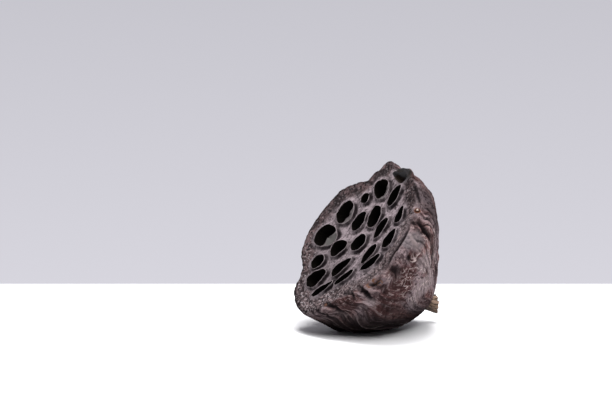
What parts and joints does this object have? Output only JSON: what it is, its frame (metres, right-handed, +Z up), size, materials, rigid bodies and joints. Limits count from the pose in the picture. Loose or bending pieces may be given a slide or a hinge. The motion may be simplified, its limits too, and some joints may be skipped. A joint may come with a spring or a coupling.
{
  "type": "dried lotus pod",
  "caption": "Dried lotus seed pod lying on its side: top-shaped wrinkled body with a lobed rim, a dished face of empty seed pits with raised papery collars and a short broken stem",
  "frame": {"origin": "middle of the box round the whole pod, on the floor it lies on", "axes": "+Z is up; the face of seed pits looks toward -X and up; the stem stub points toward +X and down; Y runs across the face"},
  "size_m": [0.0806, 0.087, 0.0874],
  "materials": {
    "receptacle": "dry, papery and matt, mauve grey on the face and red brown on the flank",
    "stem_stub": "dry fibrous tan brown"
  },
  "bodies": {
    "root": {"receptacle": "receptacle", "stem_stub": "stem_stub"}
  },
  "joints": []
}
